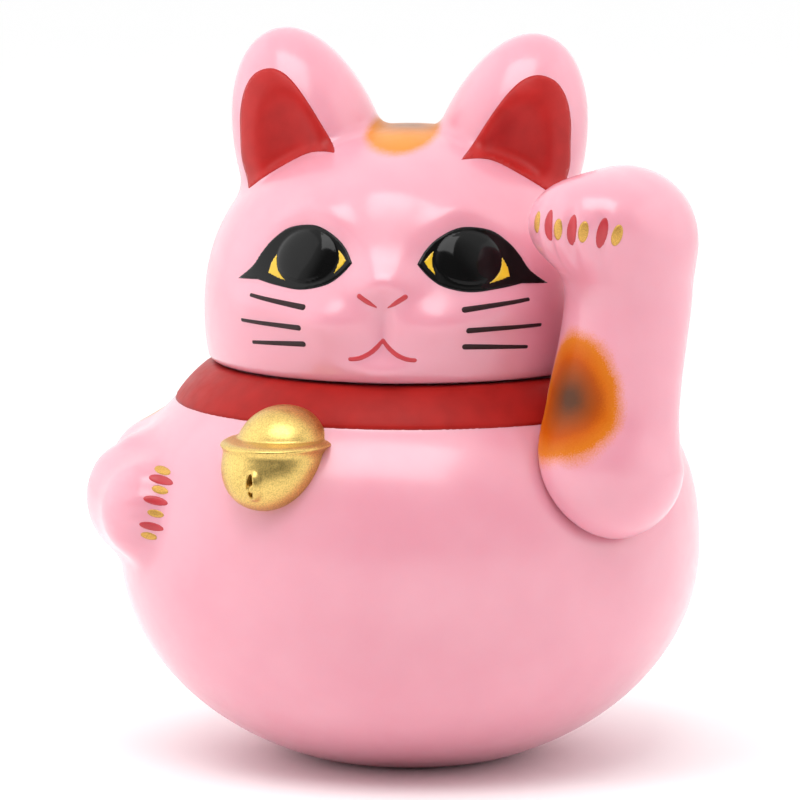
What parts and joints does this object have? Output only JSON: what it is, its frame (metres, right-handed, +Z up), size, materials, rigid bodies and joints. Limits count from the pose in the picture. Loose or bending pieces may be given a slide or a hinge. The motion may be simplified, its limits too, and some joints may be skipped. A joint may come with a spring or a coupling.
{
  "type": "beckoning cat figurine",
  "caption": "Round hollow vinyl beckoning cat with one raised arm, a painted collar and bell, a head that turns at the neck and an arm that turns at the shoulder",
  "frame": {"origin": "centre of the round foot, on the standing plane", "axes": "+Z up; the cat's body faces -Y; the cat's left, with the raised arm, is +X"},
  "size_m": [0.0691, 0.0697, 0.08],
  "materials": {
    "pink_vinyl": "satin moulded soft vinyl with airbrushed orange and grey patches and hand-painted marks",
    "white_plastic": "plain moulded plastic, inside and underneath",
    "ballast_steel": "turned steel slug",
    "gold_paint": "metallic gold paint with fine flake on a plastic casting",
    "red_paint": "glossy red brush paint over the vinyl: collar, ear linings, nose, mouth and toe marks",
    "yellow_paint": "yellow brush paint in the corners of the eyes",
    "dark_paint": "dark brown brush paint: whiskers",
    "black_gloss": "polished black"
  },
  "bodies": {
    "body": {"body_shell": "pink_vinyl", "base_cap": "white_plastic", "ballast_weight": "ballast_steel", "bell": "gold_paint", "neck_bush": "white_plastic", "shoulder_bush": "white_plastic"},
    "head": {"head_shell": "pink_vinyl", "neck_plug": "white_plastic", "left_eye": "black_gloss", "right_eye": "black_gloss"},
    "arm": {"raised_arm": "pink_vinyl", "arm_plug": "white_plastic"}
  },
  "joints": [
    {"name": "neck_swivel", "type": "hinge", "parent": "body", "child": "head", "pos_m": [0, 0, 0.0433], "axis": [0, 0, 1], "continuous": true},
    {"name": "arm_swing", "type": "hinge", "parent": "body", "child": "arm", "pos_m": [0.02757, -0.00486, 0.0339], "axis": [0.8925, -0.1574, 0.4226], "continuous": true}
  ]
}
